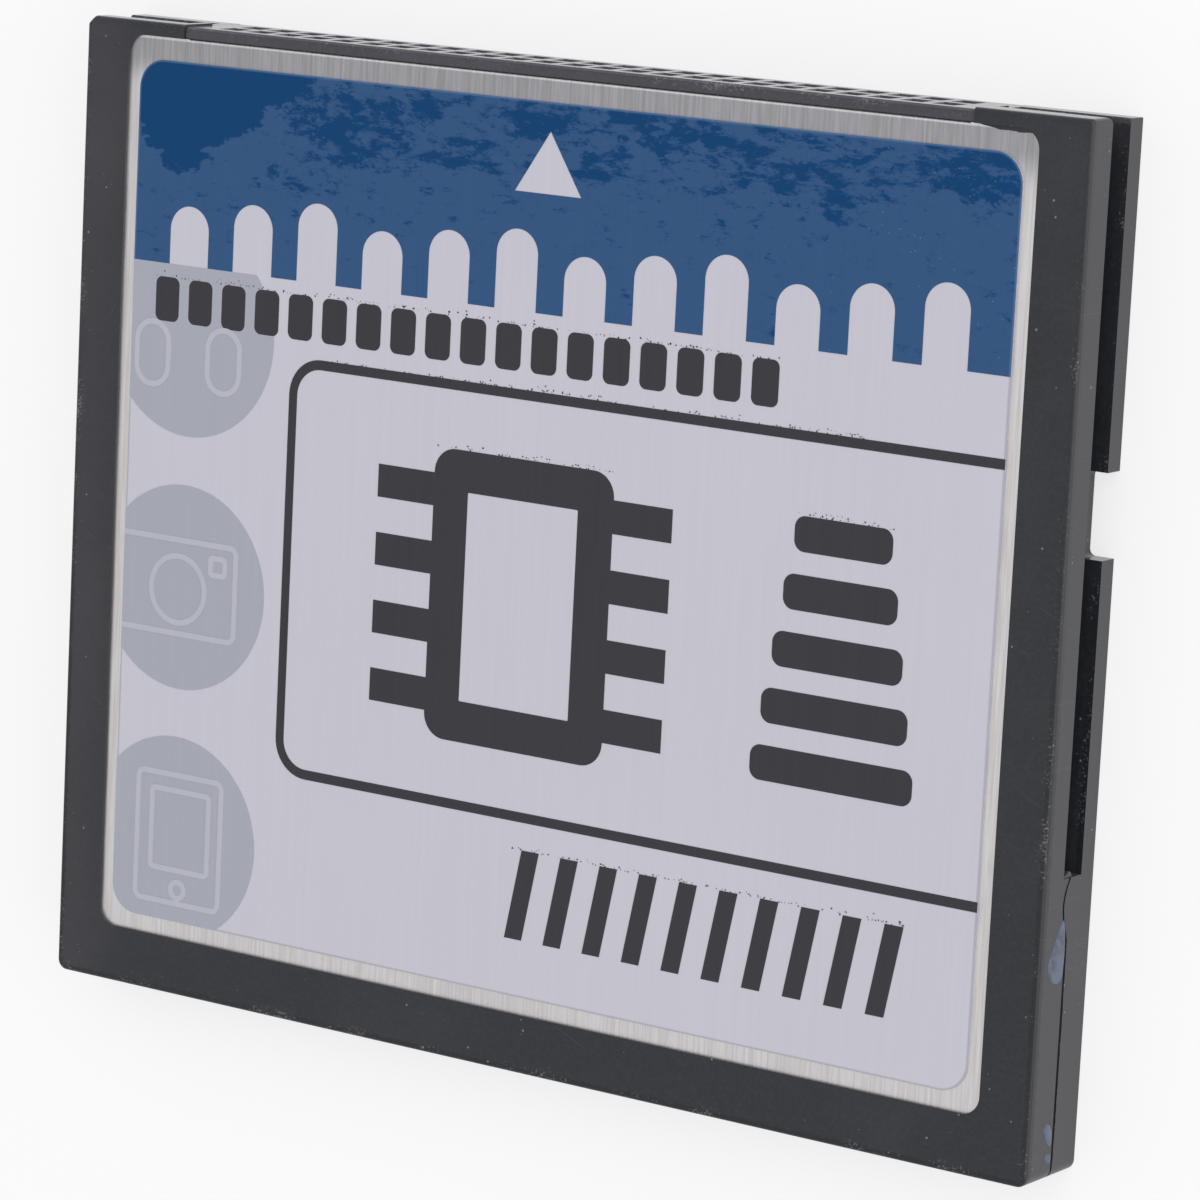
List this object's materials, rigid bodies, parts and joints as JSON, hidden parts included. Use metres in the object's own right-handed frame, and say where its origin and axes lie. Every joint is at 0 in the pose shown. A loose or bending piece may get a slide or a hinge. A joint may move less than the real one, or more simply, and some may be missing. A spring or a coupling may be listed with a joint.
{
  "type": "flash memory card",
  "caption": "Flat rectangular memory card with a socket along one end, keyed guide slots in its sides, sheet metal covers and a blue and white label.",
  "frame": {"origin": "centre of the card's back face, in plan at the middle of the width and of the length", "axes": "+X across the card to the right with the label up and the connector end ahead, +Y towards the connector end, +Z towards the label"},
  "size_m": [0.0428, 0.0364, 0.0033],
  "materials": {
    "frame_plastic": "satin moulded charcoal plastic",
    "sheet_metal": "brushed along the card's length",
    "insulating_film": "amber film",
    "connector_plastic": "dark grey glass-filled moulding",
    "contact_metal": "bright plated strip",
    "board_laminate": "green solder mask",
    "chip_compound": "black moulding compound",
    "lead_metal": "tinned leads",
    "crystal_ceramic": "unglazed ceramic",
    "crystal_metal": "bright cap",
    "capacitor_ceramic": "tan ceramic",
    "resistor_ceramic": "black glazed face",
    "label_paper": "glossy laminated sticker",
    "ink_blue": "glossy blue print",
    "ink_grey": "glossy grey print",
    "ink_pale": "glossy pale grey line",
    "ink_charcoal": "glossy charcoal print"
  },
  "bodies": {
    "root": {"bottom_frame": "frame_plastic", "top_frame": "frame_plastic", "bottom_panel": "sheet_metal", "top_panel": "sheet_metal", "bottom_insulator": "insulating_film", "top_insulator": "insulating_film", "connector_housing": "connector_plastic", "upper_contacts": "contact_metal", "lower_contacts": "contact_metal", "circuit_board": "board_laminate", "flash_chip_body": "chip_compound", "controller_body": "chip_compound", "regulator_body": "chip_compound", "flash_chip_leads": "lead_metal", "controller_leads": "lead_metal", "regulator_leads": "lead_metal", "crystal_base": "crystal_ceramic", "crystal_lid": "crystal_metal", "capacitor_1": "capacitor_ceramic", "capacitor_2": "capacitor_ceramic", "capacitor_3": "capacitor_ceramic", "capacitor_4": "capacitor_ceramic", "capacitor_5": "capacitor_ceramic", "capacitor_6": "capacitor_ceramic", "capacitor_7": "capacitor_ceramic", "capacitor_8": "capacitor_ceramic", "resistor_1": "resistor_ceramic", "resistor_2": "resistor_ceramic", "resistor_3": "resistor_ceramic", "resistor_4": "resistor_ceramic", "resistor_5": "resistor_ceramic", "resistor_6": "resistor_ceramic", "resistor_array_1": "resistor_ceramic", "resistor_array_2": "resistor_ceramic", "resistor_array_3": "resistor_ceramic", "resistor_array_4": "resistor_ceramic", "label": "label_paper", "label_print_blue": "ink_blue", "label_print_grey": "ink_grey", "label_print_pale": "ink_pale", "label_print_charcoal": "ink_charcoal"}
  },
  "joints": []
}
